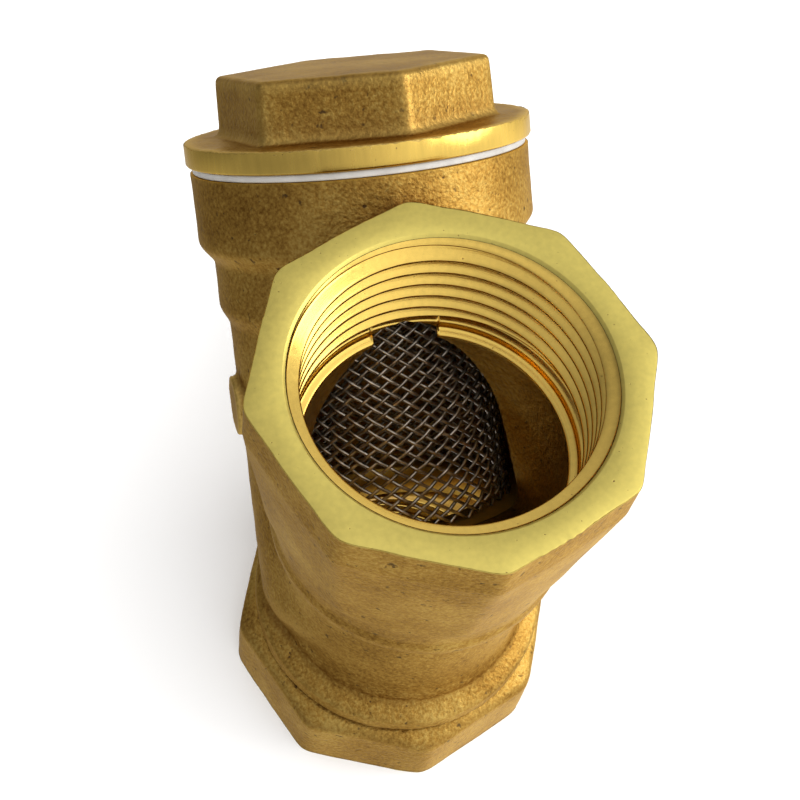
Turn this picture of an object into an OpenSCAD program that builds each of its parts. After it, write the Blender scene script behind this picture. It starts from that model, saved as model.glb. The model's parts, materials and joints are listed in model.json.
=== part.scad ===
// Threaded Y-strainer in cast brass: a straight run with an octagon at each end,
// a slanted branch with a screwed cap, and a woven screen between the cap and the seat.
// The inlet mouth is centred on the origin, the run goes up +Z and the branch leans to +Y.

/* [Run] */
// Length of the run from the inlet face to the outlet face
run_length = 68.8; // [60:0.1:90]
// Height of the wrench octagon at each end
end_height = 9.8; // [7:0.1:13]
// Radius on the octagons' eight corners
corner_round = 3.5; // [1.5:0.5:5]
// Wall between the outlet thread and an outlet flat
outlet_wall = 3.05; // [2.5:0.05:5]
// Wall between the inlet thread and an inlet flat
inlet_wall = 2.05; // [1.75:0.05:5]

/* [Ports] */
// Major diameter of the pipe thread in both ports
port_thread_d = 33.25; // [26:0.25:42]
// Depth of the outlet thread
outlet_thread_depth = 16.4; // [12:0.1:20]
// Depth of the inlet thread
inlet_thread_depth = 12; // [9:0.5:13]
// Step from the outlet thread in to the cast core
outlet_core_step = 2.2; // [1.6:0.1:3]
// Diameter of the cast core on the inlet side
inlet_core_d = 26.4; // [20:0.2:30]

/* [Outside of the run] */
// Wall of the narrow neck round the inlet core
neck_wall = 2.15; // [1.8:0.05:4]
// Height of the groove above the inlet octagon
groove_height = 2.5; // [1.5:0.1:4]
// Radius of the groove and bead, past the inlet thread
bead_wall = 0.8; // [0.7:0.1:3]
// Length of the bead between the groove and the neck
bead_length = 6; // [4:0.5:8]
// Length of the tapered outlet boss below its octagon
boss_length = 21.6; // [16:0.1:26]
// Wall of the outlet boss at its thick upper end
boss_wall = 2.4; // [2:0.1:4]
// Wall of the outlet boss at its thin lower end
boss_end_wall = 1.7; // [1.5:0.1:3]
// Length of the shoulder from the boss down to the neck
shoulder_length = 1.6; // [1:0.1:3]

/* [Branch] */
// Angle between the branch and the run
branch_angle = 47.7; // [45:0.1:52]
// Height where the branch axis crosses the run axis
cross_height = 17.55; // [17:0.05:20]
// Distance along the branch axis to the face under the gasket
branch_length = 52.4; // [48:0.1:66]
// Wall of the branch tube round the screen pocket
branch_wall = 1.4; // [1.2:0.1:3]
// Extra radius of the middle ring of the branch
ring_step = 0.9; // [0.6:0.1:2]
// Length of the middle ring, with its lower slope
ring_length = 7.7; // [5:0.1:9]
// Length of the slope below the middle ring
ring_slope = 2.5; // [1:0.1:4]
// Wall of the collar round the cap thread
collar_wall = 3.2; // [2.5:0.1:5]
// Length of the straight collar
collar_length = 7.7; // [6:0.1:10]
// Length of the slope below the collar
collar_slope = 2.2; // [1:0.1:4]

/* [Seat and screen] */
// Distance along the branch axis to the machined seat
seat_distance = 10.8; // [10:0.1:14]
// Thickness of the slanted partition under the seat
partition = 3.5; // [2.5:0.1:5]
// Width of the seat land under the end of the screen
seat_land = 3; // [1.2:0.1:4]
// Outside diameter of the screen in the cap's recess
screen_d = 26.2; // [22:0.2:28]
// Outside diameter of the screen at the seat, where its rolled sheet springs open
screen_seat_d = 28.6; // [26:0.2:31]
// Thickness of the woven wire
screen_thickness = 0.55; // [0.4:0.05:1]
// Free space round the screen in its pocket
pocket_space = 1.5; // [1:0.1:3]
// Clearance at each end of the screen
screen_end_gap = 0.1; // [0.05:0.05:0.3]

/* [Cap] */
// Height of the female cap thread's root above the pocket wall
cap_thread_step = 0.6; // [0.4:0.1:2]
// Running clearance round the cap's threaded skirt
cap_clearance = 0.3; // [0.2:0.05:0.5]
// Length of the threaded skirt, from under the flange
skirt_length = 10.7; // [8:0.1:14]
// Clearance round the screen inside the skirt
recess_clearance = 0.3; // [0.2:0.05:0.5]
// Depth of the recess that holds the screen's top
recess_depth = 8.4; // [6:0.1:12]
// Thickness of the flange
flange_thickness = 2.6; // [2:0.1:4]
// Overhang of the flange past the collar
flange_overhang = 0.4; // [0:0.1:1.5]
// Width across the flats of the cap's hexagon
hex_flats = 28; // [22:0.2:33]
// Height of the cap's hexagon
hex_height = 7; // [5:0.1:10]
// Turn of the hexagon when the cap is tight
hex_turn = 39.8; // [0:0.1:60]

/* [Gasket] */
// Thickness of the gasket
gasket_thickness = 0.9; // [0.6:0.1:1.5]
// Inset of the gasket's rim from the collar
gasket_inset = 0.6; // [0.3:0.1:1.5]
// Clearance between the gasket and the skirt
gasket_clearance = 0.3; // [0.2:0.05:0.6]

/* [Casting details] */
// Diameter of the flat pad on each side of the branch
pad_d = 7; // [5:0.5:10]
// Height of the pad above the branch tube
pad_height = 0.8; // [0.4:0.1:1.5]
// Distance along the branch axis to the pad
pad_distance = 24.9; // [20:0.1:30]

/* [Hidden] */
$fn = 96;
over = 0.5;
big = 200;

port_r = port_thread_d / 2;
outlet_flats = port_thread_d + 2 * outlet_wall;
inlet_flats = port_thread_d + 2 * inlet_wall;
outlet_core_r = port_r - outlet_core_step;
inlet_core_r = inlet_core_d / 2;

neck_r = inlet_core_r + neck_wall;
bead_r = port_r + bead_wall;
boss_top_r = port_r + boss_wall;
boss_end_r = outlet_core_r + boss_end_wall;
groove_z = end_height + groove_height;
bead_z = groove_z + bead_length;
groove_flare = 1.2;
// Bead outline from the groove up: step out from bead_r, share of the bead's length
bead_steps = [[0, 0], [0.3, 0.13], [0.1, 0.37], [-0.8, 0.7]];
boss_top_z = run_length - end_height;
boss_z = boss_top_z - boss_length;
core_z = boss_z + 8;

screen_r = screen_d / 2;
screen_seat_r = screen_seat_d / 2;
seat_hole_r = screen_seat_r - seat_land;
pocket_r = screen_seat_r + pocket_space;
tube_r = pocket_r + branch_wall;
ring_r = tube_r + ring_step;
cap_thread_r = pocket_r + cap_thread_step;
collar_r = cap_thread_r + collar_wall;
collar_s = branch_length - collar_length;
ring_top_s = collar_s - collar_slope;
ring_s = ring_top_s - ring_length;
tube_s = 4;
tube_tip_s = -5;
tube_tip_r = tube_r - 4.5;

gasket_r = collar_r - gasket_inset;
flange_s = branch_length + gasket_thickness;
flange_r = collar_r + flange_overhang;
hex_s = flange_s + flange_thickness;
skirt_r = cap_thread_r - cap_clearance;
skirt_s = flange_s - skirt_length;
skirt_chamfer = 0.6;
recess_r = screen_r + recess_clearance;
screen_s = seat_distance + screen_end_gap;
screen_top_s = skirt_s + recess_depth - screen_end_gap;
cap_bore_relief = 1.2;
cap_bore_s = skirt_s - cap_bore_relief;

// Points of an octagon with rounded corners, one corner towards +Y
function octagon_points(flats, radius, steps = 5) =
    let (corner = flats / 2 / cos(22.5) - radius / cos(22.5))
    [for (i = [0:7], j = [0:steps])
        let (middle = 90 + 45 * i, turn = middle - 22.5 + 45 * j / steps)
        [corner * cos(middle) + radius * cos(turn),
         corner * sin(middle) + radius * sin(turn)]];

// Places its children on the branch axis, with their +Z out along the branch
module along_branch(distance = 0) {
    translate([0, 0, cross_height])
        rotate([-branch_angle, 0, 0])
            translate([0, 0, distance])
                children();
}

// A ring or disc turned from a flat profile of radius and height
module turned(points) {
    rotate_extrude() polygon(points);
}

module end_octagon(flats, bottom) {
    translate([0, 0, bottom])
        linear_extrude(end_height)
            polygon(octagon_points(flats, corner_round));
}

// Neck, bead and tapered boss in one turned outline
module run_outside() {
    turned([
        [0, end_height - over],
        [bead_r + groove_flare, end_height - over],
        for (step = bead_steps) [bead_r + step[0], groove_z + step[1] * bead_length],
        [neck_r, bead_z],
        [neck_r, boss_z - shoulder_length],
        [boss_end_r, boss_z],
        [boss_top_r, boss_top_z],
        [boss_top_r, boss_top_z + over],
        [0, boss_top_z + over]]);
}

// Branch tube, middle ring and collar in one turned outline
module branch_outside() {
    along_branch()
        turned([
            [0, tube_tip_s],
            [tube_tip_r, tube_tip_s],
            [tube_r, tube_s],
            [tube_r, ring_s],
            [ring_r, ring_s + ring_slope],
            [ring_r, ring_top_s],
            [collar_r, collar_s],
            [collar_r, branch_length],
            [0, branch_length]]);
}

module side_pads() {
    along_branch(pad_distance)
        rotate([0, 90, 0])
            cylinder(d = pad_d, h = 2 * (tube_r + pad_height), center = true);
}

module port(depth) {
    translate([0, 0, -over]) cylinder(r = port_r, h = depth + over);
}

module inlet_chamber() {
    intersection() {
        cylinder(r = inlet_core_r, h = run_length);
        along_branch(seat_distance - partition - big)
            translate([-big / 2, -big / 2, 0]) cube(big);
    }
}

module outlet_chamber() {
    intersection() {
        turned([
            [0, 0],
            [inlet_core_r, 0],
            [inlet_core_r, boss_z - shoulder_length],
            [outlet_core_r, core_z],
            [outlet_core_r, run_length],
            [0, run_length]]);
        along_branch(seat_distance)
            translate([-big / 2, -big / 2, 0]) cube(big);
    }
}

module body() {
    color("#b08a3e")
        difference() {
            union() {
                end_octagon(inlet_flats, 0);
                end_octagon(outlet_flats, boss_top_z);
                run_outside();
                branch_outside();
                side_pads();
            }
            port(inlet_thread_depth);
            translate([0, 0, run_length]) mirror([0, 0, 1]) port(outlet_thread_depth);
            inlet_chamber();
            outlet_chamber();
            along_branch() cylinder(r = seat_hole_r, h = seat_distance + over);
            along_branch(seat_distance)
                cylinder(r = pocket_r, h = branch_length - seat_distance + over);
            along_branch(cap_bore_s)
                cylinder(r = cap_thread_r, h = branch_length - cap_bore_s + over);
        }
}

module screen() {
    color("#4a4743")
        along_branch()
            turned([
                [screen_seat_r - screen_thickness, screen_s],
                [screen_seat_r, screen_s],
                [screen_r, skirt_s],
                [screen_r, screen_top_s],
                [screen_r - screen_thickness, screen_top_s],
                [screen_r - screen_thickness, skirt_s]]);
}

module cap_gasket() {
    color("#e4e4e0")
        along_branch(branch_length)
            difference() {
                cylinder(r = gasket_r, h = gasket_thickness);
                translate([0, 0, -over])
                    cylinder(r = skirt_r + gasket_clearance, h = gasket_thickness + 2 * over);
            }
}

module cap() {
    color("#a67c35")
        along_branch()
            difference() {
                union() {
                    translate([0, 0, skirt_s])
                        cylinder(r1 = skirt_r - skirt_chamfer, r2 = skirt_r, h = skirt_chamfer);
                    translate([0, 0, skirt_s + skirt_chamfer])
                        cylinder(r = skirt_r, h = skirt_length - skirt_chamfer + over);
                    translate([0, 0, flange_s]) cylinder(r = flange_r, h = flange_thickness);
                    translate([0, 0, hex_s - over])
                        rotate([0, 0, hex_turn])
                            cylinder(r = hex_flats / 2 / cos(30), h = hex_height + over, $fn = 6);
                }
                translate([0, 0, skirt_s - over]) cylinder(r = recess_r, h = recess_depth + over);
            }
}

body();
screen();
cap_gasket();
cap();
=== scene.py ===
"""Brass Y-strainer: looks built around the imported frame, in metres, with sizes written in millimetres."""

import json

import bmesh
import bpy
import numpy as np
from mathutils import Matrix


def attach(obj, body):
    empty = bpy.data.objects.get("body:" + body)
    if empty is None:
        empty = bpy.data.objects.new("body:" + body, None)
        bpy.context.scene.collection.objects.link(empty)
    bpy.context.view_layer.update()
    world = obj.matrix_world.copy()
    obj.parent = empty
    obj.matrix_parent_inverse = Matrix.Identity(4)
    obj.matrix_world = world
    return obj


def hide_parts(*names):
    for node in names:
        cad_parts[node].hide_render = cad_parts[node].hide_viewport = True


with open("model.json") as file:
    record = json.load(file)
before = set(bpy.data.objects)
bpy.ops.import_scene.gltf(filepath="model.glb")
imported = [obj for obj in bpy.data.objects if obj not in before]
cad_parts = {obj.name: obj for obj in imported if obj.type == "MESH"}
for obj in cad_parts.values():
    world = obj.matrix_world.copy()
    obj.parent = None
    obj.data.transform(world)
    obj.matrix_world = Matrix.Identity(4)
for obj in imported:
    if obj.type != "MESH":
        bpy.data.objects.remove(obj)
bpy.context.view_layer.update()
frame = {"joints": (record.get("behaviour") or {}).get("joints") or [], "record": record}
mm = 0.001
mounts = {mount["name"]: mount for mount in frame["record"]["mounts"]}
joints = {joint["name"]: joint for joint in frame["joints"]}


# ---------------------------------------------------------------- camera
# Looks down into the outlet port from the side away from the branch, a long lens at arm's length.
view_azimuth, view_elevation, view_roll = np.radians([-23.717, 61.149, 12.468])
view_offset = np.array([-1.743, -30.222, 231.5]) * mm
view_lens = 78.5

camera_back = np.array([
    np.sin(view_azimuth) * np.cos(view_elevation),
    -np.cos(view_azimuth) * np.cos(view_elevation),
    np.sin(view_elevation)])
level_right = np.cross(-camera_back, [0, 0, 1])
level_right /= np.linalg.norm(level_right)
level_up = np.cross(level_right, -camera_back)
camera_right = np.cos(view_roll) * level_right + np.sin(view_roll) * level_up
camera_up = np.cos(view_roll) * level_up - np.sin(view_roll) * level_right
camera_place = -view_offset @ np.array([camera_right, camera_up, -camera_back])

camera = bpy.data.objects.new("camera", bpy.data.cameras.new("camera"))
camera.data.lens = view_lens
camera.data.clip_start = 0.01
pose = np.eye(4)
pose[:3] = np.column_stack([camera_right, camera_up, camera_back, camera_place])
camera.matrix_world = pose.T.tolist()
bpy.context.scene.collection.objects.link(camera)
bpy.context.scene.camera = camera


# ---------------------------------------------------------------- cast body, outside
# The body is one sand casting in brass: two octagon ends, a necked run and a slanted branch.
# It is cast in a two-part mould, so its round forms have a low ridge at the parting plane. The
# forms run into each other with soft fillets, so one distance formula draws them all.
run_top = mounts["outlet_thread"]["pos_m"][2] / mm
branch_axis = np.array(joints["cap_turn"]["axis"])
branch_cross = joints["cap_turn"]["pos_m"][2] / mm
branch_across = np.array([0, branch_axis[2], -branch_axis[1]])
collar_face = 52.4
end_height = 9.8
outlet_apothem = 19.68
outlet_height = 25
inlet_apothem = 18.68
outlet_fade, fade_height = 0.15, 5.5
neck_radius = 15.3
neck_swell, neck_swell_from, neck_swell_to = 0.3, 20.0, 17.0
bead_rise, bead_top, bead_crest = 2.3, 16.9, 14.9
bead_groove, groove_top, groove_end = 0.75, 12.9, 12.3
boss_ledge, boss_start, boss_rise = 37.0, 37.6, 1.5
boss_flare, boss_length = 2.3, 21.4
boss_lip, lip_top, lip_end = 0.4, 38.5, 40.5
tube_radius = 17.2
ring_rise, ring_from, ring_to = 0.95, 34.4, 37.0
collar_rise, collar_from, collar_to = 1.55, 41.9, 44.6
pad_along, pad_radius, pad_reach = 24.9, 3.5, 17.95
gate_place, gate_radius = (0.3, -16.2, 37.9), 0.9
casting_step = 0.40


def to_branch(points):
    """Distance along the branch axis, then x and the offset across the axis in the plane of symmetry."""
    y, z = points[..., 1], points[..., 2] - branch_cross
    along = y * branch_axis[1] + z * branch_axis[2]
    across = y * branch_across[1] + z * branch_across[2]
    return along, points[..., 0], across


def from_branch(along, x, across):
    """Points in the part's frame from branch coordinates: the inverse of to_branch."""
    along, x, across = np.broadcast_arrays(along, x, across)
    y = along * branch_axis[1] + across * branch_across[1]
    z = along * branch_axis[2] + across * branch_across[2] + branch_cross
    return np.stack([x, y, z], -1)


def blend_union(a, b, reach):
    """Smallest of two distances, lowered by up to a quarter of reach where they are alike."""
    share = np.clip(0.5 + 0.5 * (b - a) / reach, 0, 1)
    return b * (1 - share) + a * share - reach * share * (1 - share)


def blend_cut(a, b, reach):
    """Largest of two distances, raised where they are alike: a rounded outer edge."""
    return -blend_union(-a, -b, reach)


def ease(value, start, end):
    """0 before start, 1 after end and a smooth cubic between them."""
    share = np.clip((value - start) / (end - start), 0, 1)
    return share * share * (3 - 2 * share)


def polygon_distance(x, y, sides, apothem, softness, turn=0.0):
    """Distance to a regular polygon: soft maximum of its sides' distances, which rounds the corners."""
    total = 0
    for side in range(sides):
        angle = turn + 2 * np.pi * (side + 0.5) / sides
        total = total + np.exp((x * np.cos(angle) + y * np.sin(angle) - apothem) / softness)
    return softness * np.log(total)


def mould_radius(x, across, draft=0.25):
    """Distance from an axis, measured as two arcs that meet in a low ridge at the parting plane x = 0."""
    return np.hypot(np.abs(x) + draft, across) - draft / 2


def run_radius(z):
    """Outline of the run: neck, rounded bead over the inlet and the boss that widens to the outlet."""
    neck = neck_radius + neck_swell * ease(z, neck_swell_from, neck_swell_to)
    bead = bead_rise * ease(z, bead_top, bead_crest) * (1 - bead_groove * ease(z, groove_top, groove_end))
    flare = boss_flare * np.clip((z - boss_start) / boss_length, 0, 1)
    boss = ease(z, boss_ledge, boss_start) * (boss_rise + flare + boss_lip * ease(z, lip_end, lip_top))
    return neck + bead + boss


def branch_radius(along):
    """Outline of the branch: tube, middle ring and the collar round the cap's thread."""
    ring = ring_rise * ease(along, ring_from, ring_to)
    collar = collar_rise * ease(along, collar_from, collar_to)
    return tube_radius + ring + collar


def unevenness(points):
    """Low waves a few hundredths of a millimetre high: the sum of two products of crossing sine waves."""
    x, y, z = np.moveaxis(points, -1, 0)
    waves = np.sin(0.9 * x + 0.5 * z) * np.sin(0.7 * y - 0.4 * x)
    return 0.025 * (waves + np.sin(0.6 * z + 0.8 * y + 1.0) * np.sin(0.5 * x - 0.9 * y))


def casting_distance(points):
    """Distance to the casting's outside: soft union of the run, its octagons, the branch, the two round
    pads on its sides and the stub of the gate."""
    x, y, z = np.moveaxis(points, -1, 0)
    along, _, across = to_branch(points)
    run = mould_radius(x, y) - run_radius(z)
    inlet_sides = polygon_distance(x, y, 8, inlet_apothem, 0.45, np.pi / 2)
    inlet = blend_cut(inlet_sides, z - end_height - 1.3 * ease(np.hypot(x, y), 20.5, 17.2), 1.0)
    fading = outlet_fade * np.clip(run_top - fade_height - z, 0, None)
    outlet_sides = polygon_distance(x, y, 8, outlet_apothem, 0.35, np.pi / 2) + fading
    outlet = blend_cut(outlet_sides, run_top - outlet_height - z, 2.0)
    tube = blend_cut(mould_radius(x, across) - branch_radius(along), -3 - along, 5.0)
    pad = np.maximum(np.hypot(along - pad_along, across) - pad_radius, np.abs(x) - pad_reach)
    gate = np.linalg.norm(points - np.array(gate_place), axis=-1) - gate_radius
    body = blend_union(run, inlet, 0.5)
    body = blend_union(body, outlet, 1.4)
    body = blend_union(body, tube, 1.4)
    body = blend_union(body, pad, 0.7)
    return blend_union(body, gate, 0.6) + unevenness(points)


def surface_of(distance, low, high, step):
    """Zero surface of a distance on a cubic grid. Each cell that it crosses gets one point, the mean of
    its edge crossings, moved onto the surface along the gradient; each crossed grid edge joins four."""
    counts = [int(np.ceil((b - a) / step)) + 1 for a, b in zip(low, high)]
    axes = [a + step * np.arange(n) for a, n in zip(low, counts)]
    grid = np.stack(np.meshgrid(*axes, indexing="ij"), -1)
    values = distance(grid)
    inside = values < 0
    cells = tuple(n - 1 for n in counts)
    total = np.zeros(cells + (3,))
    hits = np.zeros(cells)
    crossed = []
    for axis in range(3):
        first = [slice(None)] * 3
        second = [slice(None)] * 3
        first[axis], second[axis] = slice(None, -1), slice(1, None)
        a, b = values[tuple(first)], values[tuple(second)]
        cross = inside[tuple(first)] != inside[tuple(second)]
        share = np.where(cross, a / np.where(cross, a - b, 1), 0)
        place = grid[tuple(first)].copy()
        place[..., axis] += share * step
        crossed.append((cross, inside[tuple(first)]))
        others = [n for n in range(3) if n != axis]
        for shift in ((0, 0), (0, 1), (1, 0), (1, 1)):
            pick = [slice(None)] * 3
            for other, move in zip(others, shift):
                pick[other] = slice(move, counts[other] - 1 + move)
            total += np.where(cross[tuple(pick)][..., None], place[tuple(pick)], 0)
            hits += cross[tuple(pick)]
    used = hits > 0
    number = np.full(cells, -1)
    number[used] = np.arange(used.sum())
    points = total[used] / hits[used][:, None]
    for _ in range(3):
        nudge = 0.02
        value = distance(points)
        slope = np.stack([
            (distance(points + nudge * unit) - distance(points - nudge * unit)) / (2 * nudge)
            for unit in np.eye(3)], -1)
        move = value[:, None] * slope / np.maximum((slope ** 2).sum(-1, keepdims=True), 0.2)
        points = points - np.clip(move, -step, step)
    quads = []
    for axis, (cross, first_inside) in enumerate(crossed):
        others = [n for n in range(3) if n != axis]
        inner = [slice(None)] * 3
        for other in others:
            inner[other] = slice(1, -1)
        where = np.argwhere(cross[tuple(inner)])
        where[:, others] += 1
        corner = []
        for shift in ((0, 0), (1, 0), (1, 1), (0, 1)):
            cell = where.copy()
            cell[:, others[0]] -= shift[0]
            cell[:, others[1]] -= shift[1]
            corner.append(number[tuple(cell.T)])
        quad = np.stack(corner, -1)
        turn = first_inside[tuple(where.T)] == (axis != 1)
        quad[~turn] = quad[~turn][:, ::-1]
        quads.append(quad)
    return points, np.concatenate(quads)


def new_piece(name, points, quads, material, node, body):
    """A mesh object from points in millimetres and quads of point numbers, riding on its body."""
    mesh = bpy.data.meshes.new(name)
    mesh.vertices.add(len(points))
    mesh.vertices.foreach_set("co", (np.asarray(points) * mm).astype(np.float32).ravel())
    mesh.loops.add(quads.size)
    mesh.loops.foreach_set("vertex_index", np.asarray(quads, np.int32).ravel())
    mesh.polygons.add(len(quads))
    mesh.polygons.foreach_set("loop_start", np.arange(0, quads.size, quads.shape[1], dtype=np.int32))
    mesh.update(calc_edges=True)
    mesh.polygons.foreach_set("use_smooth", np.ones(len(quads), bool))
    mesh.validate()
    mesh.materials.append(material)
    piece = bpy.data.objects.new(name, mesh)
    bpy.context.scene.collection.objects.link(piece)
    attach(piece, body)
    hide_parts(node)
    return piece


def cut_flat(piece, point, normal):
    """Cuts a piece's mesh at a plane, given in millimetres, and drops what lies on the normal's side."""
    work = bmesh.new()
    work.from_mesh(piece.data)
    bmesh.ops.bisect_plane(
        work, geom=work.verts[:] + work.edges[:] + work.faces[:], dist=1e-7,
        plane_co=[value * mm for value in point], plane_no=normal, clear_outer=True)
    work.to_mesh(piece.data)
    work.free()


def add_nodes(material, *kinds):
    """Adds one node of each kind to a material or world and returns them in order."""
    return [material.node_tree.nodes.new(kind) for kind in kinds]


def mark_shade_and_wear(piece, distance, reach=1.3):
    """Stores a point attribute from the distance read a reach outside and inside each point along its
    gradient: X grows in hollows, where it paints stain together with shade, and Y on outer edges, which are
    rubbed bright."""
    flat = np.empty(3 * len(piece.data.vertices), np.float32)
    piece.data.vertices.foreach_get("co", flat)
    points = flat.reshape(-1, 3) / mm
    nudges = 0.02 * np.eye(3)
    slope = np.stack([distance(points + nudge) - distance(points - nudge) for nudge in nudges], -1)
    normal = slope / np.maximum(np.linalg.norm(slope, axis=-1, keepdims=True), 1e-6)
    # X darkens the hollows by how shut in they are: partly stain, partly painted shade.
    hollow = np.clip(1.3 * (1 - distance(points + reach * normal) / reach), 0, 0.85)
    edge = np.clip(0.9 * (1 + distance(points - reach * normal) / reach) - 0.05, 0, 0.7)
    shade_and_wear = piece.data.attributes.new("shade_and_wear", "FLOAT_VECTOR", "POINT")
    shade_and_wear.data.foreach_set("vector", np.stack([hollow, edge, 0 * edge], -1).astype(np.float32).ravel())


def cast_brass(name, dark, mid, light, roughness):
    """As-cast brass: three tones in patches and in fine grain, dark pits, stain and painted shade in
    hollows, rubbed edges, and a sandy bump.
    """
    material = bpy.data.materials.new(name)
    material.use_nodes = True
    tree = material.node_tree
    link = tree.links.new
    shader = tree.nodes["Principled BSDF"]
    shader.inputs["Metallic"].default_value = 1.0
    shader.inputs["Specular Tint"].default_value = (1.0, 0.84, 0.58, 1)
    place, patches, grain, pits = add_nodes(
        material, "ShaderNodeTexCoord", "ShaderNodeTexNoise", "ShaderNodeTexNoise", "ShaderNodeTexNoise")
    for noise, scale, detail in ((patches, 110, 5), (grain, 2400, 3), (pits, 900, 2)):
        noise.inputs["Scale"].default_value = scale
        noise.inputs["Detail"].default_value = detail
        noise.inputs["Roughness"].default_value = 0.6
        link(place.outputs["Object"], noise.inputs["Vector"])
    tone, mixed, speck, pitted = add_nodes(
        material, "ShaderNodeValToRGB", "ShaderNodeMix", "ShaderNodeValToRGB", "ShaderNodeMix")
    tone.color_ramp.elements[0].position, tone.color_ramp.elements[0].color = 0.34, (*dark, 1)
    tone.color_ramp.elements[1].position, tone.color_ramp.elements[1].color = 0.66, (*light, 1)
    middle = tone.color_ramp.elements.new(0.5)
    middle.color = (*mid, 1)
    mixed.data_type = "FLOAT"
    mixed.inputs["Factor"].default_value = 0.55
    link(patches.outputs["Fac"], mixed.inputs["A"])
    link(grain.outputs["Fac"], mixed.inputs["B"])
    link(mixed.outputs["Result"], tone.inputs["Fac"])
    speck.color_ramp.elements[0].position, speck.color_ramp.elements[0].color = 0.27, (1, 1, 1, 1)
    speck.color_ramp.elements[1].position, speck.color_ramp.elements[1].color = 0.34, (0, 0, 0, 1)
    link(pits.outputs["Fac"], speck.inputs["Fac"])
    pitted.data_type = "RGBA"
    pitted.inputs["B"].default_value = (0.10, 0.055, 0.02, 1)
    link(speck.outputs["Color"], pitted.inputs["Factor"])
    link(tone.outputs["Color"], pitted.inputs["A"])
    shade_and_wear, marks, stain_and_shade, rubbed = add_nodes(
        material, "ShaderNodeAttribute", "ShaderNodeSeparateXYZ", "ShaderNodeMix", "ShaderNodeMix")
    shade_and_wear.attribute_name = "shade_and_wear"
    stain_and_shade.data_type = rubbed.data_type = "RGBA"
    # Dark brown laid into the hollows by X: stain plus painted shade.
    stain_and_shade.inputs["B"].default_value = (0.17, 0.065, 0.012, 1)
    rubbed.inputs["B"].default_value = (0.74, 0.52, 0.15, 1)
    link(shade_and_wear.outputs["Vector"], marks.inputs["Vector"])
    link(marks.outputs["X"], stain_and_shade.inputs["Factor"])
    link(pitted.outputs["Result"], stain_and_shade.inputs["A"])
    link(marks.outputs["Y"], rubbed.inputs["Factor"])
    link(stain_and_shade.outputs["Result"], rubbed.inputs["A"])
    link(rubbed.outputs["Result"], shader.inputs["Base Color"])
    rough, low_bump, fine_bump = add_nodes(
        material, "ShaderNodeMapRange", "ShaderNodeBump", "ShaderNodeBump")
    rough.inputs["To Min"].default_value = roughness - 0.12
    rough.inputs["To Max"].default_value = roughness + 0.14
    link(grain.outputs["Fac"], rough.inputs["Value"])
    link(rough.outputs["Result"], shader.inputs["Roughness"])
    low_bump.inputs["Distance"].default_value = 0.00025
    low_bump.inputs["Strength"].default_value = 0.5
    link(pits.outputs["Fac"], low_bump.inputs["Height"])
    fine_bump.inputs["Distance"].default_value = 0.00009
    fine_bump.inputs["Strength"].default_value = 0.9
    link(grain.outputs["Fac"], fine_bump.inputs["Height"])
    link(low_bump.outputs["Normal"], fine_bump.inputs["Normal"])
    link(fine_bump.outputs["Normal"], shader.inputs["Normal"])
    return material


body_brass = cast_brass(
    "cast_brass_body", (0.18, 0.082, 0.013), (0.37, 0.208, 0.042), (0.54, 0.36, 0.095), 0.46)
points, quads = surface_of(casting_distance, (-23, -23, -1), (23, 56, run_top + 1), casting_step)
casting = new_piece("body_casting", points, quads, body_brass, "body", "housing")
mark_shade_and_wear(casting, casting_distance)
cut_flat(casting, (0, 0, 0), (0, 0, -1))
cut_flat(casting, (0, 0, run_top), (0, 0, 1))
cut_flat(casting, from_branch(collar_face, 0, 0), branch_axis)


# ---------------------------------------------------------------- cast body, passages
# The same casting's inside, as the cores leave it: the inlet chamber, the slanted partition
# with its seat hole, the outlet chamber and the pocket round the screen. The threaded ports
# start where these passages end.
outlet_thread_depth = 16.4
inlet_thread_depth = 12.0
thread_root = mounts["outlet_thread"]["dims"]["r_mm"]
seat_face = 10.8
partition = 3.5
pocket_radius = 16.3
cap_thread_radius = 16.4
cap_bore_start = 41.4
inlet_core_radius = 13.2
core_step, core_step_from, core_step_to = 1.22, 35.8, 45.4
rough_hole_radius = 11.45
core_end = run_top - outlet_thread_depth - 0.4


def passage_distance(points):
    """Distance to the hollow inside: union of the two chambers, which end at the partition, the hole
    through it, the pocket and the cap's bore."""
    x, y, z = np.moveaxis(points, -1, 0)
    along, _, across = to_branch(points)
    radius = np.hypot(x, y)
    branch_r = np.hypot(x, across)
    widening = core_step * ease(z, core_step_from, core_step_to)
    core = np.where(z < inlet_thread_depth, thread_root, inlet_core_radius + widening)
    core = np.where(z > core_end + 0.4, thread_root, core)
    inlet = blend_cut(radius - core, along - (seat_face - partition), 2.0)
    outlet = blend_cut(radius - core, seat_face - along, 2.0)
    pocket = np.maximum(branch_r - pocket_radius, seat_face - 0.2 - along)
    cap_bore = np.maximum(branch_r - cap_thread_radius, cap_bore_start - along)
    hole = np.maximum(branch_r - rough_hole_radius, np.maximum(along - seat_face - 1, -along))
    hollow = blend_union(outlet, np.minimum(pocket, cap_bore), 0.4)
    hollow = np.minimum(np.minimum(hollow, inlet), hole)
    return hollow + 0.6 * unevenness(points * 1.7)


def keep_faces(piece, rule):
    """Deletes the faces for whose centres, in millimetres, the rule is false."""
    work = bmesh.new()
    work.from_mesh(piece.data)
    centres = np.array([face.calc_center_median() for face in work.faces]) / mm
    keep = rule(centres)
    bmesh.ops.delete(work, geom=[f for f, k in zip(work.faces, keep) if not k], context="FACES")
    work.to_mesh(piece.data)
    work.free()


def split_flat(piece, point, normal):
    """Cuts a piece's mesh along a plane and keeps both sides."""
    work = bmesh.new()
    work.from_mesh(piece.data)
    bmesh.ops.bisect_plane(
        work, geom=work.verts[:] + work.edges[:] + work.faces[:], dist=1e-7,
        plane_co=[value * mm for value in point], plane_no=normal)
    work.to_mesh(piece.data)
    work.free()


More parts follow.
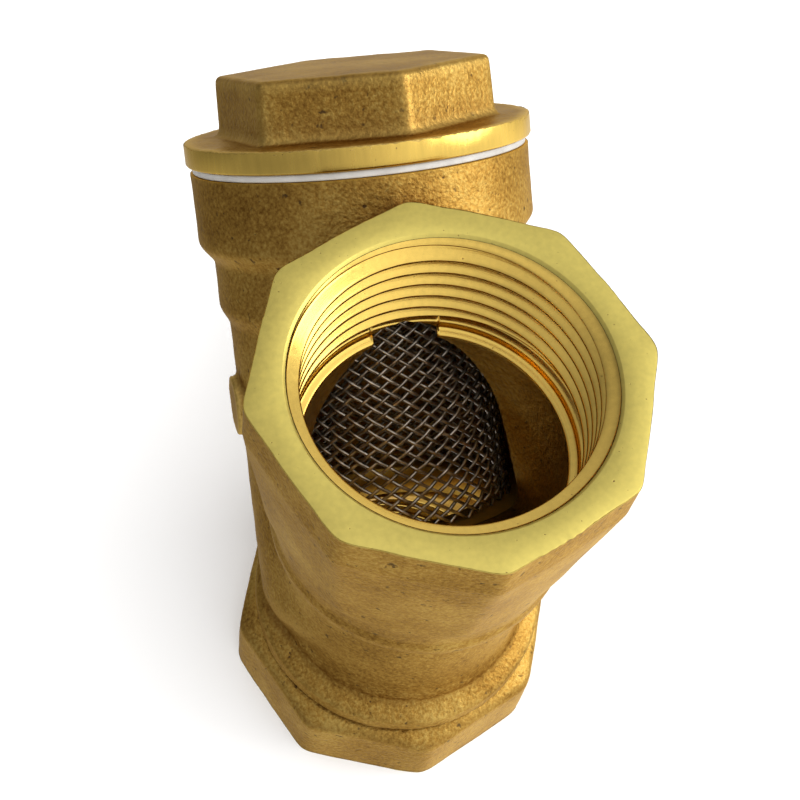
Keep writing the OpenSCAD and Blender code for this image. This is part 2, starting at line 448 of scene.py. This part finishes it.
def is_passage(centres):
    """False inside the two threaded ports."""
    radius = np.hypot(centres[:, 0], centres[:, 1])
    in_port = (radius < thread_root + 0.15) & (centres[:, 2] > core_end)
    in_inlet = centres[:, 2] < inlet_thread_depth + 0.4
    return ~(in_port | in_inlet)


points, quads = surface_of(passage_distance, (-18, -18, 8), (18, 54, 66), casting_step)
# Cored skin, its colours set lighter than the outside's cast brass as painted light in the dim passages and
# pocket.
core_brass_painted_light = cast_brass(
    "cored_brass_painted_light", (0.24, 0.12, 0.018), (0.40, 0.22, 0.038), (0.56, 0.36, 0.075), 0.36)
passages = new_piece("body_passages", points, quads[:, ::-1], core_brass_painted_light, "body", "housing")
cut_flat(passages, from_branch(collar_face, 0, 0), branch_axis)
split_flat(passages, (0, 0, core_end), (0, 0, 1))
split_flat(passages, (0, 0, inlet_thread_depth + 0.4), (0, 0, 1))
keep_faces(passages, is_passage)


# ---------------------------------------------------------------- end faces
# Both octagons are faced off square in a lathe after casting. The cut leaves a bright flat face
# with fine rings, a small chamfer into the thread and a slightly ragged outer edge.
chamfer_radius = 16.95
face_columns = 720


def around(columns):
    """Angles of the columns of a closed ring."""
    return np.arange(columns) * 2 * np.pi / columns


def upright(x, y, height):
    """Points of a shape whose axis is the run's own."""
    return np.stack(np.broadcast_arrays(x, y, height), -1)


def on_branch(x, y, height):
    """Points of a shape whose axis is the branch's, with its height along the branch."""
    return from_branch(height, x, y)


def outline_radius(distance, angle, low, high):
    """Radius at which a distance changes sign along each angle, by halving the span twenty times."""
    low, high = np.full(angle.shape, float(low)), np.full(angle.shape, float(high))
    for _ in range(20):
        middle = (low + high) / 2
        inside = distance(middle * np.cos(angle), middle * np.sin(angle)) < 0
        low, high = np.where(inside, middle, low), np.where(inside, high, middle)
    return (low + high) / 2


def ring_piece(name, radius, height, place, material, node, body, closed=False):
    """Sweeps rows of radius and height once round an axis; each may differ by column. The outline
    runs with the solid on its left when radius points right and height up."""
    radius, height = np.broadcast_arrays(np.asarray(radius, float), np.asarray(height, float))
    rows, columns = radius.shape
    angle = around(columns)
    x, y = radius * np.cos(angle), radius * np.sin(angle)
    points = place(x, y, height).reshape(-1, 3)
    number = np.arange(rows * columns).reshape(rows, columns)
    if closed:
        number = np.vstack([number, number[:1]])
    ahead = np.roll(number, -1, axis=1)
    quads = np.stack([number[:-1], ahead[:-1], ahead[1:], number[1:]], -1).reshape(-1, 4)
    piece = new_piece(name, points, quads, material, node, body)
    local = piece.data.attributes.new("local", "FLOAT_VECTOR", "POINT")
    local.data.foreach_set("vector", np.stack([x, y, height], -1).astype(np.float32).ravel())
    return piece


def ragged(angle, size, seed, low=3, high=160):
    """Uneven edge: sum of waves round the ring with random phase, the finer the lower."""
    chance = np.random.default_rng(seed)
    count = np.arange(low, high)
    height = chance.normal(size=count.size) / np.sqrt(count)
    phase = chance.uniform(0, 2 * np.pi, count.size)
    return size * (height[:, None] * np.cos(count[:, None] * angle + phase[:, None])).sum(0)


def machined_brass(name, colour, roughness, rings, pits):
    """Turned brass: rings from noise over radius and height, grain drawn out along the axis, dark pits."""
    material = bpy.data.materials.new(name)
    material.use_nodes = True
    link = material.node_tree.links.new
    shader = material.node_tree.nodes["Principled BSDF"]
    shader.inputs["Metallic"].default_value = 1.0
    shader.inputs["Specular Tint"].default_value = (1.0, 0.86, 0.60, 1)
    local, split, across, turned, groove, grain, pit = add_nodes(
        material, "ShaderNodeAttribute", "ShaderNodeSeparateXYZ", "ShaderNodeVectorMath",
        "ShaderNodeCombineXYZ", "ShaderNodeTexNoise", "ShaderNodeTexNoise", "ShaderNodeTexNoise")
    local.attribute_name = "local"
    across.operation = "LENGTH"
    flat = add_nodes(material, "ShaderNodeVectorMath")[0]
    flat.operation = "MULTIPLY"
    flat.inputs[1].default_value = (1, 1, 0)
    link(local.outputs["Vector"], split.inputs["Vector"])
    link(local.outputs["Vector"], flat.inputs[0])
    link(flat.outputs["Vector"], across.inputs[0])
    link(across.outputs["Value"], turned.inputs["X"])
    link(split.outputs["Z"], turned.inputs["Y"])
    link(turned.outputs["Vector"], groove.inputs["Vector"])
    groove.inputs["Scale"].default_value = 7.0
    groove.inputs["Detail"].default_value = 4
    groove.inputs["Roughness"].default_value = 0.75
    streak = add_nodes(material, "ShaderNodeVectorMath")[0]
    streak.operation = "MULTIPLY"
    streak.inputs[1].default_value = (1, 1, 0.12)
    link(local.outputs["Vector"], streak.inputs[0])
    for noise, scale, source in ((grain, 1.6, streak), (pit, 2.6, local)):
        noise.inputs["Scale"].default_value = scale
        noise.inputs["Detail"].default_value = 4
        link(source.outputs["Vector"], noise.inputs["Vector"])
    dark, tone, tinted, rough = add_nodes(
        material, "ShaderNodeValToRGB", "ShaderNodeMix", "ShaderNodeMix", "ShaderNodeMapRange")
    dark.color_ramp.elements[0].position, dark.color_ramp.elements[0].color = 0.5 - pits, (1, 1, 1, 1)
    dark.color_ramp.elements[1].position, dark.color_ramp.elements[1].color = 0.53 - pits, (0, 0, 0, 1)
    link(pit.outputs["Fac"], dark.inputs["Fac"])
    tone.data_type = tinted.data_type = "RGBA"
    tone.inputs["A"].default_value = (*[0.74 * value for value in colour], 1)
    tone.inputs["B"].default_value = (*colour, 1)
    link(grain.outputs["Fac"], tone.inputs["Factor"])
    tinted.inputs["B"].default_value = (0.20, 0.11, 0.04, 1)
    link(dark.outputs["Color"], tinted.inputs["Factor"])
    link(tone.outputs["Result"], tinted.inputs["A"])
    link(tinted.outputs["Result"], shader.inputs["Base Color"])
    rough.inputs["To Min"].default_value = roughness - 0.08
    rough.inputs["To Max"].default_value = roughness + 0.10
    link(grain.outputs["Fac"], rough.inputs["Value"])
    link(rough.outputs["Result"], shader.inputs["Roughness"])
    ring_bump, pit_bump = add_nodes(material, "ShaderNodeBump", "ShaderNodeBump")
    ring_bump.inputs["Distance"].default_value = 0.00002
    ring_bump.inputs["Strength"].default_value = rings
    link(groove.outputs["Fac"], ring_bump.inputs["Height"])
    pit_bump.inputs["Distance"].default_value = 0.00006
    pit_bump.inputs["Strength"].default_value = 0.5
    pit_bump.invert = True
    link(dark.outputs["Color"], pit_bump.inputs["Height"])
    link(ring_bump.outputs["Normal"], pit_bump.inputs["Normal"])
    link(pit_bump.outputs["Normal"], shader.inputs["Normal"])
    return material


face_brass = machined_brass("machined_face_brass", (0.72, 0.59, 0.155), 0.45, 0.3, 0.24)
angle = around(face_columns)
# The burr that the lathe tool left lies along one stretch of the outlet's rim.
burr = ease(angle, 4.75, 4.95) * ease(angle, 5.65, 5.4)
for name, level, up, seed in (("outlet_face", run_top, 1, 3), ("inlet_face", 0.0, -1, 4)):
    edge = outline_radius(
        lambda x, y: casting_distance(upright(x, y, np.full(x.shape, level - 0.02 * up))), angle, 17, 23)
    rough_edge = ragged(angle, 0.010, seed) + (up == 1) * burr * ragged(angle, 0.035, seed + 5)
    radius = np.stack([edge + 0.02, edge + 0.005 + rough_edge, edge - 0.10 + rough_edge,
                       edge * 0.5 + chamfer_radius * 0.5, 0 * edge + chamfer_radius + 0.06,
                       0 * edge + chamfer_radius - 0.03, 0 * edge + thread_root + 0.02])
    height = np.array([-0.14, -0.04, 0.0, 0.0, 0.0, -0.05, -0.36])[:, None] * up + level
    if up < 0:
        radius, height = radius[::-1], height[::-1]
    ring_piece(name, radius, height, upright, face_brass, "body", "housing")


# ---------------------------------------------------------------- pipe threads
# Both ports are tapped with the same right-hand pipe thread, 2.309 mm pitch. The tap runs out
# into a plain band and a shoulder where the cast core starts.
thread_pitch = 2.309
thread_depth = 1.42
thread_phase = 0.85
groove_radius = 16.35
band_radius = 15.45
outlet_band_from, inlet_band_from = 15.2, 10.9
outlet_core_radius = 14.42
cut_from = 14


def thread_shape(turns, flat=0.16):
    """Height of the thread over one pitch: 0 at the crest, 1 at the root, straight flanks, rounded ends."""
    wave = np.abs(2 * (turns - np.floor(turns)) - 1)
    shifts = (-0.09, -0.03, 0.03, 0.09)
    rounded = [np.clip((wave + shift - flat) / (1 - 2 * flat), 0, 1) for shift in shifts]
    return sum(rounded) / len(shifts)


def port_radius(angle, depth, plain_from, shoulder_at, core):
    """Radius of a port at a depth: thread, tap's end groove, plain band, then the shoulder to the core."""
    turns = (depth - thread_phase) / thread_pitch + angle / (2 * np.pi) + 0.5
    thread = thread_root - thread_depth * (1 - thread_shape(turns))
    entry = thread_root - (thread_root - thread) * ease(depth, 0.2, 1.1)
    groove = groove_radius + 0.10 * np.cos(depth * 5)
    band = band_radius - 0.06 * (depth - plain_from)
    worn = entry + (groove - entry) * ease(depth, plain_from - 1.3, plain_from - 0.9)
    worn = worn + (band - worn) * ease(depth, plain_from - 0.35, plain_from + 0.05)
    return worn + (core - worn) * ease(depth, shoulder_at - 0.30, shoulder_at + 0.05)


thread_brass = machined_brass("thread_brass", (0.84, 0.57, 0.13), 0.18, 0.5, 0.26)
angle = around(420)
rows = np.linspace(0.30, outlet_thread_depth + 0.4, 210)[:, None]
# Where the pocket cuts into the port, the wall's last rows are drawn up to the pocket's edge.
band_x, band_y = band_radius * np.cos(angle), band_radius * np.sin(angle)
pocket_side = np.sqrt(np.clip(pocket_radius ** 2 - band_x ** 2, 0, None))
pocket_height = branch_cross + (band_y * branch_across[1] + pocket_side) / -branch_across[2]
last = run_top - pocket_height
last = np.where((last < outlet_thread_depth - 0.25) & (band_y > 0), last, rows[-1])
depth = rows + np.clip(rows - cut_from, 0, None) * ((last - cut_from) / (rows[-1] - cut_from) - 1)
wall = port_radius(angle, depth, outlet_band_from, outlet_thread_depth, outlet_core_radius)
ring_piece("outlet_thread", wall, run_top - depth, upright, thread_brass, "body", "housing")

depth = np.linspace(0.30, inlet_thread_depth + 0.4, 160)[:, None]
wall = port_radius(-angle, depth, inlet_band_from, inlet_thread_depth, inlet_core_radius)
ring_piece("inlet_thread", wall[::-1], depth[::-1], upright, thread_brass, "body", "housing")


# ---------------------------------------------------------------- machined branch
# The branch is bored from its open end in one setting: the seat land under the screen, the
# collar's face under the gasket, and the fine thread that the cap screws into.
seat_hole_radius = 11.3
seat_hole_end = 7.25
cap_pitch = 1.5
cap_thread_height = 0.85

seat_brass = machined_brass("seat_brass", (0.80, 0.50, 0.09), 0.48, 0.6, 0.25)
radius = np.array([
    pocket_radius + 0.1, 13.4, 11.75, rough_hole_radius, seat_hole_radius, seat_hole_radius, 11.5])
height = np.array([seat_face, seat_face, seat_face, seat_face - 0.03, seat_face - 0.18,
                   seat_hole_end + 0.1, seat_hole_end])
shape = np.ones((1, 180))
ring_piece("seat_land", radius[:, None] * shape, height[:, None] * shape, on_branch,
           seat_brass, "body", "housing")


def cap_helix(angle, height):
    """Share of the cap thread's height at a point: the same right-hand helix for cap and collar."""
    return thread_shape(height / cap_pitch - angle / (2 * np.pi), 0.14)


angle = around(240)
collar_edge = outline_radius(
    lambda x, y: casting_distance(on_branch(x, y, np.full(x.shape, collar_face - 0.05))), angle, 17.5, 22)
rows = np.linspace(collar_face - 0.55, cap_bore_start + 0.1, 150)[:, None]
lead_in = ease(rows, collar_face - 0.5, collar_face - 1.6)
bore = cap_thread_radius - cap_thread_height * (1 - cap_helix(angle, rows)) * lead_in
radius = np.vstack([collar_edge + 0.01, collar_edge - 0.03, collar_edge - 0.25,
                    cap_thread_radius + 0.5 + 0 * angle, bore])
height = np.vstack([np.array([[collar_face - 0.10], [collar_face - 0.03], [collar_face + 0.005],
                              [collar_face + 0.005]]) + 0 * angle, rows + 0 * angle])
ring_piece("collar_thread", radius, height, on_branch, seat_brass, "body", "housing")


# ---------------------------------------------------------------- cap
# The cap is one brass casting: a hexagon on a round flange, with its skirt, recess and rim
# turned afterwards. Casting skin is left on the hexagon and on top of the flange.
flange_bottom = 53.3
flange_top = 55.9
flange_radius = 20.0
hex_apothem = 14.0
hex_turn = np.radians(39.8)
cap_top = 62.9
skirt_radius = 16.1
skirt_end = 42.6
recess_radius = 13.4
recess_floor = 51.0
cap_corner = 0.28

cap_brass = cast_brass(
    "cast_brass_cap", (0.17, 0.076, 0.013), (0.35, 0.194, 0.038), (0.54, 0.36, 0.095), 0.40)
angle = around(480)
hexagon = outline_radius(
    lambda x, y: polygon_distance(x, y, 6, hex_apothem, cap_corner, hex_turn), angle, 12, 18)
rim_edge = ragged(angle, 0.02, 21)
share = np.array([0.0005, 0.3, 0.6, 0.85, 0.93, 0.962, 0.983, 0.996,
                  1.0, 1.002, 1.006, 1.010, 1.016, 1.032, 1.06])
level = np.array([0.10, 0.08, 0.05, 0.02, 0.0, -0.05, -0.22, -0.55,
                  -1.0, -1.6, -3.4, -5.6, -6.2, -6.65, -6.88])
outer = np.array([18.6, 19.4, 19.74, 19.9, 19.97])
radius = np.vstack([share[:, None] * hexagon, outer[:, None] + rim_edge])
height = np.vstack([(cap_top - 0.10 + level)[:, None] + 0 * angle,
                    flange_top + np.array([0.0, -0.01, -0.05, -0.15, -0.45])[:, None] + rim_edge * 0.6])
wave = unevenness(on_branch(radius * np.cos(angle), radius * np.sin(angle), height) * 1.4)
height = height + 0.8 * wave
head = ring_piece("cap_head", radius[::-1], height[::-1], on_branch, cap_brass, "cap", "plug")


def head_distance(points):
    """Distance to the cap's head: a hexagonal prism joined to the flange's disc."""
    along, x, across = to_branch(points)
    prism = polygon_distance(x, across, 6, hex_apothem, cap_corner, hex_turn)
    prism = blend_cut(prism, along - cap_top, 0.8)
    disc = np.maximum(np.hypot(x, across) - flange_radius, along - flange_top)
    return blend_union(prism, disc, 1.2)


mark_shade_and_wear(head, head_distance)

rim_brass = machined_brass("rim_brass", (0.74, 0.50, 0.11), 0.24, 0.5, 0.25)
edge = 0.20 + 0.9 * np.abs(ragged(angle, 0.06, 22, 12, 200))
radius = np.array([recess_radius + 3.0, 19.6, 19.86, flange_radius, flange_radius, 19.97])[:, None]
radius = radius + 0 * angle
height = np.vstack([flange_bottom + np.array([[0.0], [0.0], [0.08], [0.3]]) + 0 * angle,
                    flange_top - edge, flange_top - edge + 0.12])
ring_piece("cap_rim", radius, height, on_branch, rim_brass, "cap", "plug")

rows = np.linspace(flange_bottom - 0.9, skirt_end + 0.05, 150)[:, None]
lead_in = ease(rows, skirt_end + 0.1, skirt_end + 1.4)
male = skirt_radius - 0.05 - cap_thread_height * cap_helix(angle, rows) * lead_in
male = np.minimum(male, skirt_radius - 0.7 * ease(rows, skirt_end + 1.0, skirt_end))
undercut, inner = np.array([[15.3], [15.3]]), np.array([
    [15.1], [recess_radius + 0.3], [recess_radius], [recess_radius], [recess_radius - 0.3], [0.005]])
radius = np.vstack([undercut + 0 * angle, male, inner + 0 * angle])
height = np.vstack([np.array([[flange_bottom + 0.02], [flange_bottom - 0.7]]), rows,
                    np.array([[skirt_end], [skirt_end], [skirt_end + 0.3], [recess_floor - 0.3],
                              [recess_floor], [recess_floor]])])
ring_piece("cap_skirt", radius[::-1], height[::-1] + 0 * angle, on_branch,
           rim_brass, "cap", "plug")


# ---------------------------------------------------------------- gasket
# A flat white fluoropolymer ring, squeezed between the collar's face and the cap's flange, so its
# outer edge bulges a little.
gasket_outer = 19.3
gasket_inner = 16.4

gasket_white = bpy.data.materials.new("gasket_white")
gasket_white.use_nodes = True
shader = gasket_white.node_tree.nodes["Principled BSDF"]
shader.inputs["Roughness"].default_value = 0.45
shader.inputs["Subsurface Weight"].default_value = 0.15
shader.inputs["Subsurface Radius"].default_value = (0.0006, 0.0006, 0.0006)
place, grey, tone = add_nodes(
    gasket_white, "ShaderNodeTexCoord", "ShaderNodeTexNoise", "ShaderNodeValToRGB")
grey.inputs["Scale"].default_value = 420
grey.inputs["Detail"].default_value = 4
tone.color_ramp.elements[0].color = (0.40, 0.385, 0.36, 1)
tone.color_ramp.elements[1].color = (0.66, 0.65, 0.62, 1)
gasket_white.node_tree.links.new(place.outputs["Object"], grey.inputs["Vector"])
gasket_white.node_tree.links.new(grey.outputs["Fac"], tone.inputs["Fac"])
gasket_white.node_tree.links.new(tone.outputs["Color"], shader.inputs["Base Color"])

middle, half = (gasket_outer + gasket_inner) / 2, (gasket_outer - gasket_inner) / 2
turn = np.linspace(0, 2 * np.pi, 48, endpoint=False)
bend = np.stack([np.cos(turn), np.sin(turn)])
round_box = np.sign(bend) * np.abs(bend) ** 0.3
radius = middle + half * round_box[0][:, None] * np.ones(200)
height = (collar_face + flange_bottom) / 2 + 0.44 * round_box[1][:, None] * np.ones(200)
ring_piece("gasket_ring", radius, height, on_branch, gasket_white,
           "cap_gasket", "strainer_set", closed=True)


# ---------------------------------------------------------------- screen
# A sheet of plain-woven stainless wire, rolled into a tube with its wires on the slant and held
# at the top in the cap's recess. It springs open to the seat, where its cut ends are frayed.
screen_low, screen_high = 10.9, 50.8
screen_top_radius = 12.82
screen_seat_radius = 14.02
wire_radius = 0.215
wires = 39
wire_lean = 1.41
wire_sides = 6
wire_points = 260
wave_height = 0.10
sprung_length = 31.7
lean_height = 13.5

wire_steel = bpy.data.materials.new("screen_wire")
wire_steel.use_nodes = True
shader = wire_steel.node_tree.nodes["Principled BSDF"]
shader.inputs["Metallic"].default_value = 1.0
shader.inputs["Roughness"].default_value = 0.38
place, dull, tone = add_nodes(
    wire_steel, "ShaderNodeTexCoord", "ShaderNodeTexNoise", "ShaderNodeValToRGB")
dull.inputs["Scale"].default_value = 900
tone.color_ramp.elements[0].position, tone.color_ramp.elements[0].color = 0.35, (0.22, 0.185, 0.14, 1)
tone.color_ramp.elements[1].position, tone.color_ramp.elements[1].color = 0.65, (0.56, 0.51, 0.43, 1)
wire_steel.node_tree.links.new(place.outputs["Object"], dull.inputs["Vector"])
wire_steel.node_tree.links.new(dull.outputs["Fac"], tone.inputs["Fac"])
wire_steel.node_tree.links.new(tone.outputs["Color"], shader.inputs["Base Color"])

chance = np.random.default_rng(7)
wire_spacing = 2 * np.pi / wires
number_of = np.arange(wires)[:, None]
for family, lean in (("a", 1), ("b", -1)):
    start = screen_low + np.maximum(chance.uniform(-0.5, 0.35, (wires, 1)), 0)
    height = start + (screen_high - start) * np.linspace(0, 1, wire_points)
    rise = (height - screen_low) / lean_height
    angle = number_of * wire_spacing + lean * wire_lean * rise
    weave = lean * np.cos(2 * np.pi * wire_lean * rise / wire_spacing)
    opened = np.clip((skirt_end - height) / sprung_length, 0, 1)
    sprung = screen_top_radius + (screen_seat_radius - screen_top_radius) * opened
    fray = np.clip(chance.normal(0, 0.25, (wires, 1)), -0.5, 0.5) * np.exp(-(height - screen_low) / 1.3)
    radius = sprung + wave_height * weave + fray
    centre = np.stack([radius * np.cos(angle), radius * np.sin(angle), height], -1)
    ahead = np.gradient(centre, axis=1)
    ahead /= np.linalg.norm(ahead, axis=-1, keepdims=True)
    outward = np.stack([np.cos(angle), np.sin(angle), 0 * angle], -1)
    sideways = np.cross(ahead, outward)
    sideways /= np.linalg.norm(sideways, axis=-1, keepdims=True)
    outward = np.cross(sideways, ahead)
    turn = np.arange(wire_sides) * 2 * np.pi / wire_sides
    tube = (centre[:, :, None] + wire_radius * (
        np.cos(turn)[:, None] * outward[:, :, None] + np.sin(turn)[:, None] * sideways[:, :, None]))
    points = from_branch(tube[..., 2], tube[..., 0], tube[..., 1]).reshape(-1, 3)
    number = np.arange(wires * wire_points * wire_sides).reshape(wires, wire_points, wire_sides)
    ahead_side = np.roll(number, -1, axis=2)
    quads = np.stack([number[:, :-1], ahead_side[:, :-1], ahead_side[:, 1:], number[:, 1:]], -1)
    quads = quads.reshape(-1, 4)
    new_piece("screen_wires_" + family, points, quads, wire_steel, "screen", "strainer_set")


# ---------------------------------------------------------------- floor, light and world
# A plain pale table top in a room whose white walls are bright on the right and dim on the left
# and behind, with one soft light on the right and one over the table.
floor_white = bpy.data.materials.new("floor_white")
floor_white.use_nodes = True
floor_white.node_tree.nodes["Principled BSDF"].inputs["Base Color"].default_value = (0.93, 0.93, 0.93, 1)
floor_white.node_tree.nodes["Principled BSDF"].inputs["Roughness"].default_value = 0.9
mesh = bpy.data.meshes.new("floor")
reach = 3.0
corners = [(-reach, -reach, 0), (reach, -reach, 0), (reach, reach, 0), (-reach, reach, 0)]
mesh.from_pydata(corners, [], [(0, 1, 2, 3)])
mesh.materials.append(floor_white)
floor = bpy.data.objects.new("floor", mesh)
bpy.context.scene.collection.objects.link(floor)


def soft_light(name, place, aim, size, power, in_metal=True):
    """An area light at a place in metres, turned to face its aim. With in_metal off it isn't reflected."""
    light = bpy.data.lights.new(name, "AREA")
    light.shape = "RECTANGLE"
    light.size, light.size_y = size
    light.energy = power
    back = np.array(place, float) - np.array(aim, float)
    back /= np.linalg.norm(back)
    right = np.cross([0, 0, 1.0], back)
    right = right / np.linalg.norm(right) if np.linalg.norm(right) > 1e-6 else np.array([1.0, 0, 0])
    pose = np.eye(4)
    pose[:3] = np.column_stack([right, np.cross(back, right), back, place])
    lamp = bpy.data.objects.new(name, light)
    lamp.matrix_world = pose.T.tolist()
    lamp.visible_glossy = in_metal
    bpy.context.scene.collection.objects.link(lamp)


# The room, not the floor, shows in the brass: it is brighter to the right and dimmer behind.
floor.visible_glossy = False
aim = (0, 0.01, 0.04)
soft_light("key_right", (0.60, -0.10, 0.34), aim, (0.40, 0.40), 2.0)
soft_light("table_light", (-0.15, -0.20, 1.30), (-0.05, -0.05, 0), (0.9, 0.9), 10.0, in_metal=False)
world = bpy.data.worlds.new("room")
world.use_nodes = True
direction, parts, sideways, backward, side, depth, both = add_nodes(
    world, "ShaderNodeTexCoord", "ShaderNodeSeparateXYZ", "ShaderNodeMapRange", "ShaderNodeMapRange",
    "ShaderNodeValToRGB", "ShaderNodeValToRGB", "ShaderNodeMix")
link = world.node_tree.links.new
link(direction.outputs["Generated"], parts.inputs["Vector"])
link(parts.outputs["X"], sideways.inputs["Value"])
link(parts.outputs["Y"], backward.inputs["Value"])
for span, ramp, tones in ((sideways, side, ((0, 0.14), (0.25, 0.25), (0.5, 0.43), (0.75, 0.66), (1, 0.55))),
                          (backward, depth, ((0.20, 0.80), (0.50, 1.0), (0.72, 0.52)))):
    span.inputs["From Min"].default_value = -1
    link(span.outputs["Result"], ramp.inputs["Fac"])
    stops = ramp.color_ramp.elements
    stops[0].position, stops[1].position = tones[0][0], tones[-1][0]
    for position, _ in tones[1:-1]:
        stops.new(position)
    for stop, (_, level) in zip(stops, tones):
        stop.color = (level, level, level, 1)
both.data_type = "RGBA"
both.blend_type = "MULTIPLY"
both.inputs["Factor"].default_value = 1
link(side.outputs["Color"], both.inputs["A"])
link(depth.outputs["Color"], both.inputs["B"])
link(both.outputs["Result"], world.node_tree.nodes["Background"].inputs["Color"])
world.node_tree.nodes["Background"].inputs["Strength"].default_value = 2.8
bpy.context.scene.world = world
bpy.context.scene.view_settings.view_transform = "Standard"
